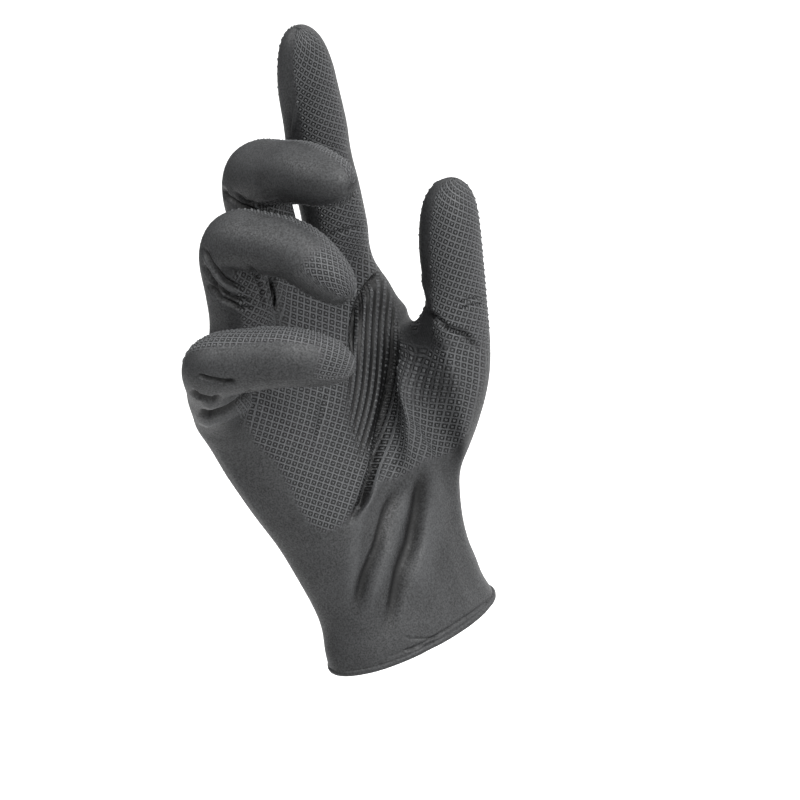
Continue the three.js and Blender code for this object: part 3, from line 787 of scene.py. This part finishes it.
def lay_grip(wall):
    """Stores the grip's strength, its ribs and its net's measure on the wall, before it is folded."""
    places = vertex_places(wall)
    outward = vertex_normals(wall)
    parts = part_weights(wall)
    pixels = to_pixels(places)
    fade = BACK_GRIP["fade"]
    strength_front = soft_outline(PALM_GRIP, GRIP_EDGE_PIXELS, pixels)
    beside = np.abs(places @ ACROSS - BACK_GRIP["middle"])
    strength_back = smooth_step(0, fade, BACK_GRIP["across"] - beside)
    strength_back = strength_back * smooth_step(0, fade, places[:, 2] - BACK_GRIP["low"])
    front_share = smooth_step(-TURN_EDGE, TURN_EDGE, outward @ FORWARD)
    strength = parts["palm"] * (strength_front * front_share + strength_back * (1 - front_share))
    palm_net = front_net(pixels)
    net = parts["palm"][:, None] * palm_net
    for stall in STALLS:
        weight = parts[stall["name"]]
        found = measure_on(stall, LINES[stall["name"]], places)
        tip = stall["all_round"]
        grip = smooth_step(tip, tip + TIP_FADE, found["along"] / stall["long"])
        for middle, half_width in (stall["pad"], stall["back"]):
            inner_edge = half_width - GRIP_EDGE_DEGREES
            outer_edge = half_width + GRIP_EDGE_DEGREES
            face = 1 - smooth_step(inner_edge, outer_edge, turned_from(found["angle"], middle))
            grip = np.maximum(grip, face)
        strength += weight * grip
        own = np.stack([found["u"], found["v"]], 1)
        shared = weight * (1 - weight) * (found["turned"] < PAD_HALF)
        net += weight[:, None] * carried_over(own, palm_net, shared)
    toward = smooth_step(-TURN_EDGE, TURN_EDGE, outward @ CAMERA_BACK)
    web = soft_outline(WEB, WEB_EDGE_PIXELS, pixels) * toward
    web *= 1 - smooth_step(*THUMB_FREE, parts["thumb"])
    drawn = sum(share * soft_outline(outline, RIB_EDGE_PIXELS, pixels) for share, outline in RIBS)
    turned_net = np.stack([net[:, 0] + net[:, 1], net[:, 1] - net[:, 0], np.zeros(len(net))], 1)
    store(wall.data, "grip", strength * (1 - web))
    store(wall.data, "ribs", drawn * toward * parts["palm"])
    store(wall.data, "net_place", turned_net / math.sqrt(2) / GRIP_PITCH)


def point_values(piece, name, width):
    """A piece's named attribute, as a row of width numbers for each vertex."""
    return numbers_of(piece.data.attributes[name].data, "vector" if width == 3 else "value", width)


def stud_points(skin):
    """The corners of the stud in each mesh of the grip's net, and the folds' painted shade and light there.
    """
    skin.data.calc_loop_triangles()
    corners = numbers_of(skin.data.loop_triangles, "vertices", 3, int)
    places = vertex_places(skin)[corners]
    net = point_values(skin, "net_place", 3)[:, :2][corners]
    grip = point_values(skin, "grip", 1)[:, 0][corners]
    painted_light_and_shade = point_values(skin, "painted_light_and_shade", 1)[:, 0][corners]
    # How far the skin goes for one pitch of the net along a column and along a row, in each triangle.
    first = net[:, 1] - net[:, 0]
    second = net[:, 2] - net[:, 0]
    area = first[:, 0] * second[:, 1] - first[:, 1] * second[:, 0]
    sound = np.abs(area) > SMALLEST_AREA
    area = np.where(sound, area, 1)
    edge_one = places[:, 1] - places[:, 0]
    edge_two = places[:, 2] - places[:, 0]
    along_column = (edge_one * second[:, 1:] - edge_two * first[:, 1:]) / area[:, None]
    along_row = (edge_two * first[:, :1] - edge_one * second[:, :1]) / area[:, None]
    normals = np.cross(edge_one, edge_two)
    normals /= np.maximum(np.linalg.norm(normals, axis=1), TINY)[:, None]
    for way in (along_column, along_row):
        pitch = np.linalg.norm(way, axis=1)
        sound &= (pitch > STUD_PITCHES[0] * GRIP_PITCH) & (pitch < STUD_PITCHES[1] * GRIP_PITCH)
    points = []
    stud_painted_shades = []
    for step in NEIGHBOURS:
        away = np.floor(net.mean(1)) + np.array(step) + MESH_MIDDLE - net[:, 0]
        share_one = (away[:, 0] * second[:, 1] - away[:, 1] * second[:, 0]) / area
        share_two = (first[:, 0] * away[:, 1] - first[:, 1] * away[:, 0]) / area
        shares = np.stack([1 - share_one - share_two, share_one, share_two], 1)
        inside = sound & (shares >= 0).all(1) & ((shares * grip).sum(1) > STUD_GRIP)
        middle = (shares[:, :, None] * places).sum(1)
        rings = []
        for size, height in ((STUD_FOOT, -STUD_ROOT), (STUD_TOP, STUD_HEIGHT)):
            for u, v in STUD_RING:
                rings.append(middle + size * (u * along_column + v * along_row) + height * normals)
        points.append(np.stack(rings, 1)[inside])
        stud_painted_shades.append((shares * painted_light_and_shade).sum(1)[inside])
    return np.concatenate(points), np.concatenate(stud_painted_shades)


def make_studs(skin):
    """The grip's studs: low blunt pyramids with six four-sided faces, set into the skin."""
    points, stud_painted_shades = stud_points(skin)
    # Where the net runs the other way round, a stud's corners do too.
    foot_across = points[:, 1] - points[:, 0]
    foot_along = points[:, 3] - points[:, 0]
    upward = points[:, 4:].mean(1) - points[:, :4].mean(1)
    mirrored = (foot_across * np.cross(foot_along, upward)).sum(1) < 0
    points[mirrored] = points[mirrored][:, STUD_MIRRORED]
    faces = np.arange(len(points))[:, None, None] * STUD_CORNERS + np.array(STUD_FACES)
    mesh = bpy.data.meshes.new("grip_studs")
    mesh.from_pydata(points.reshape(-1, 3), [], faces.reshape(-1, 4).tolist())
    studs = bpy.data.objects.new("grip_studs", mesh)
    bpy.context.scene.collection.objects.link(studs)
    count = len(points) * STUD_CORNERS
    # Each stud carries the folds' painted shade and light, and the net's value at a mesh's middle, which
    # paints it paler as a painted highlight.
    store(mesh, "grip", np.ones(count))
    store(mesh, "painted_light_and_shade", np.repeat(stud_painted_shades, STUD_CORNERS))
    store(mesh, "net_place", np.full((count, 3), MESH_MIDDLE))
    mesh.update()
    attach(studs, "root")
    return studs


def make_skin():
    """The glove's pieces: its skin with the bead, its lining and its studs."""
    outer, inner = cut_film()
    mark_stalls(outer)
    mark_stalls(inner)
    apply_subdivision(outer, OUTER_LEVELS)
    apply_subdivision(inner, INNER_LEVELS)
    refine_folds(outer)
    lay_grip(outer)
    for wall, outward in ((outer, vertex_normals(outer)), (inner, -vertex_normals(inner))):
        move_vertices(wall, vertex_places(wall) + fold_moves(wall, outward))
        draw_out_hem(wall)
        wall.data.shade_smooth()
        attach(wall, "root")
    studs = make_studs(outer)
    bead = make_bead(outer)
    only(outer)
    bead.select_set(True)
    bpy.ops.object.join()
    outer.name = "glove_skin"
    inner.name = "glove_lining"
    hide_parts("glove_film")
    return outer, inner, studs


# Shader nodes.
def new_group(name, inputs, outputs):
    group = bpy.data.node_groups.new(name, "ShaderNodeTree")
    for socket, kind, value in inputs:
        made = group.interface.new_socket(socket, in_out="INPUT", socket_type=kind)
        if value is not None:
            made.default_value = value
    for socket, kind in outputs:
        group.interface.new_socket(socket, in_out="OUTPUT", socket_type=kind)
    return group, group.nodes.new("NodeGroupInput"), group.nodes.new("NodeGroupOutput")


def group_node(tree, group):
    node = tree.nodes.new("ShaderNodeGroup")
    node.node_tree = group
    return node


def attribute_node(tree, name):
    node = tree.nodes.new("ShaderNodeAttribute")
    node.attribute_name = name
    return node


def math_node(tree, operation, first, second=None):
    node = tree.nodes.new("ShaderNodeMath")
    node.operation = operation
    for k, value in enumerate((first, second)):
        if value is None:
            continue
        if isinstance(value, (int, float)):
            node.inputs[k].default_value = value
        else:
            tree.links.new(value, node.inputs[k])
    return node.outputs[0]


def ramp(tree, value, limits, results):
    """A smooth step of a value between two limits, put out as the first to the second result."""
    node = tree.nodes.new("ShaderNodeMapRange")
    node.interpolation_type = "SMOOTHSTEP"
    node.inputs["From Min"].default_value = limits[0]
    node.inputs["From Max"].default_value = limits[1]
    node.inputs["To Min"].default_value = results[0]
    node.inputs["To Max"].default_value = results[1]
    tree.links.new(value, node.inputs["Value"])
    return node.outputs["Result"]


def bump_node(tree, height, depth):
    """A bump of a height, whose depth is a distance and a strength."""
    node = tree.nodes.new("ShaderNodeBump")
    node.inputs["Distance"].default_value = depth[0]
    node.inputs["Strength"].default_value = depth[1]
    tree.links.new(height, node.inputs["Height"])
    return node


# Floor, light and world.
def make_floor():
    bpy.ops.object.select_all(action="DESELECT")
    bpy.ops.mesh.primitive_plane_add(size=FLOOR_SIDE, location=(0, 0, FLOOR_LEVEL))
    floor = bpy.context.active_object
    floor.name = "floor"
    pale = bpy.data.materials.new("pale_floor")
    pale.use_nodes = True
    shader = pale.node_tree.nodes["Principled BSDF"]
    shader.inputs["Base Color"].default_value = FLOOR_TONE
    shader.inputs["Roughness"].default_value = FLOOR_ROUGHNESS
    floor.data.materials.append(pale)


def make_light():
    """The world as a wide soft light from one side, like a studio's window wall, and two area lights."""
    world = bpy.data.worlds.new("studio")
    world.use_nodes = True
    tree = world.node_tree
    background = tree.nodes["Background"]
    background.inputs["Color"].default_value = (1, 1, 1, 1)
    way = tree.nodes.new("ShaderNodeTexCoord")
    toward = tree.nodes.new("ShaderNodeVectorMath")
    toward.operation = "DOT_PRODUCT"
    toward.inputs[1].default_value = unit(np.array(WALL_SIDE))
    tree.links.new(way.outputs["Generated"], toward.inputs[0])
    strength = ramp(tree, toward.outputs["Value"], WALL_FADE, WALL_LIGHT)
    tree.links.new(strength, background.inputs["Strength"])
    bpy.context.scene.world = world
    for name, place, size, power in LIGHTS:
        light_data = bpy.data.lights.new(name, "AREA")
        light_data.size = size
        light_data.energy = power
        light = bpy.data.objects.new(name, light_data)
        light.location = place
        aim = Vector(LIGHT_AIM) - Vector(place)
        light.rotation_euler = aim.to_track_quat("-Z", "Y").to_euler()
        bpy.context.scene.collection.objects.link(light)
    bpy.context.scene.view_settings.view_transform = "Standard"


# Materials.
def make_net_group():
    """The grip: thin raised lines with a stud in each mesh, drawn into dotted ribs where it is stretched."""
    group, inside, outside = new_group(
        "grip_net",
        [("Place", "NodeSocketVector", None), ("Ribs", "NodeSocketFloat", 0.0)],
        [("Height", "NodeSocketFloat")],
    )
    split = group.nodes.new("ShaderNodeSeparateXYZ")
    group.links.new(inside.outputs["Place"], split.inputs[0])
    from_stud = []
    for axis in ("X", "Y"):
        share = math_node(group, "FRACT", split.outputs[axis])
        from_stud.append(math_node(group, "ABSOLUTE", math_node(group, "SUBTRACT", share, MESH_MIDDLE)))
    widest = math_node(group, "MAXIMUM", *from_stud)
    line = ramp(group, widest, LINE_EDGE, (0, 1))
    stud = ramp(group, widest, STUD_EDGE, (1, 0))
    net = math_node(group, "MAXIMUM", line, stud)
    rib = ramp(group, from_stud[0], RIB_EDGE, RIB_HEIGHTS)
    dots = math_node(group, "ADD", rib, math_node(group, "MULTIPLY", stud, DOT_HEIGHT))
    change = math_node(group, "SUBTRACT", dots, net)
    drawn = math_node(group, "MULTIPLY", change, inside.outputs["Ribs"])
    group.links.new(math_node(group, "ADD", net, drawn), outside.inputs["Height"])
    return group


def make_grain_group():
    """The fine matte grain of the film, and a broad one."""
    group, inside, outside = new_group(
        "film_grain",
        [("Scale", "NodeSocketFloat", GRAIN_SCALE)],
        [("Fine", "NodeSocketFloat"), ("Broad", "NodeSocketFloat")],
    )
    place = group.nodes.new("ShaderNodeTexCoord")
    for socket, share in (("Fine", 1.0), ("Broad", BROAD_SHARE)):
        noise = group.nodes.new("ShaderNodeTexNoise")
        noise.inputs["Detail"].default_value = GRAIN_DETAIL
        group.links.new(place.outputs["Object"], noise.inputs["Vector"])
        scale = math_node(group, "MULTIPLY", inside.outputs["Scale"], share)
        group.links.new(scale, noise.inputs["Scale"])
        group.links.new(noise.outputs["Fac"], outside.inputs[socket])
    return group


def make_nitrile():
    """One rubber for the whole glove: matte grain, with painted light on the net's lines and studs, and
    painted shade in its pits and in the folds.
    """
    nitrile = bpy.data.materials.new("black_nitrile")
    nitrile.use_nodes = True
    tree = nitrile.node_tree
    shader = tree.nodes["Principled BSDF"]
    shader.inputs["Specular IOR Level"].default_value = SPECULAR
    grip = attribute_node(tree, "grip").outputs["Fac"]
    painted_light_and_shade = attribute_node(tree, "painted_light_and_shade").outputs["Fac"]
    net = group_node(tree, make_net_group())
    tree.links.new(attribute_node(tree, "net_place").outputs["Vector"], net.inputs["Place"])
    tree.links.new(attribute_node(tree, "ribs").outputs["Fac"], net.inputs["Ribs"])
    grain = group_node(tree, make_grain_group())
    # The grain's tone is the film's own; the net's height paints shade into its pits and light onto its
    # lines and studs.
    grain_and_painted_net_shade = PLAIN_TONE
    for value, middle, factor in (
        (grain.outputs["Fine"], GRAIN_MIDDLE, GRAIN_TONE),
        (grain.outputs["Broad"], GRAIN_MIDDLE, BROAD_TONE),
        (net.outputs["Height"], NET_MIDDLE, grip),
    ):
        change = math_node(tree, "MULTIPLY", math_node(tree, "SUBTRACT", value, middle), factor)
        grain_and_painted_net_shade = math_node(tree, "ADD", change, grain_and_painted_net_shade)
    # Painted shade in the folds and painted light on the ridges, taken off the film's tone.
    shaded = math_node(tree, "SUBTRACT", grain_and_painted_net_shade, math_node(tree, "MULTIPLY", painted_light_and_shade, PAINTED_SHADE_TONE))
    tone = tree.nodes.new("ShaderNodeMix")
    tone.data_type = "RGBA"
    tone.inputs["A"].default_value = DARK
    tone.inputs["B"].default_value = PALE
    tree.links.new(shaded, tone.inputs["Factor"])
    tree.links.new(tone.outputs["Result"], shader.inputs["Base Color"])
    roughness = ramp(tree, grain.outputs["Fine"], GRAIN_LIMITS, ROUGHNESS)
    tree.links.new(roughness, shader.inputs["Roughness"])
    grain_bump = bump_node(tree, grain.outputs["Fine"], GRAIN_BUMP)
    net_bump = bump_node(tree, math_node(tree, "MULTIPLY", net.outputs["Height"], grip), NET_BUMP)
    tree.links.new(grain_bump.outputs["Normal"], net_bump.inputs["Normal"])
    tree.links.new(net_bump.outputs["Normal"], shader.inputs["Normal"])
    return nitrile


pieces = make_skin()
make_camera()
make_floor()
make_light()
nitrile = make_nitrile()
for piece in pieces:
    piece.data.materials.append(nitrile)

bpy.context.view_layer.update()
